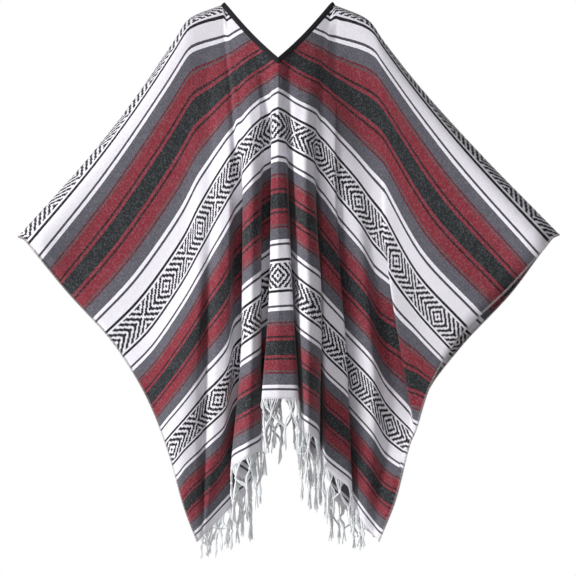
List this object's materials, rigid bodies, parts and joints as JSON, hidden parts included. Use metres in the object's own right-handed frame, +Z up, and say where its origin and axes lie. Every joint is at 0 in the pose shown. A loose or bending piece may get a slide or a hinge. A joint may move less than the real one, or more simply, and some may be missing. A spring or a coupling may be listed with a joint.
{
  "type": "mexican serape",
  "caption": "Striped woven poncho hanging in folds as worn, with a V neck slit bound in dark tape, draped sleeves and knotted fringe.",
  "frame": {"origin": "middle of the neck opening, on the shoulder line where the cloth rests on the wearer", "axes": "+X to the right seen from the front, -Y to the front, +Z up"},
  "size_m": [1.0834, 0.387, 1.184],
  "materials": {
    "woven_cloth": "matte plain weave in red, grey, white and black stripes",
    "neck_tape": "matte ribbed cotton tape",
    "fringe_yarn": "soft off-white yarn, knotted"
  },
  "bodies": {
    "root": {"front_panel": "woven_cloth", "back_panel": "woven_cloth", "neck_binding": "neck_tape", "front_fringe": "fringe_yarn", "back_fringe": "fringe_yarn"}
  },
  "joints": []
}
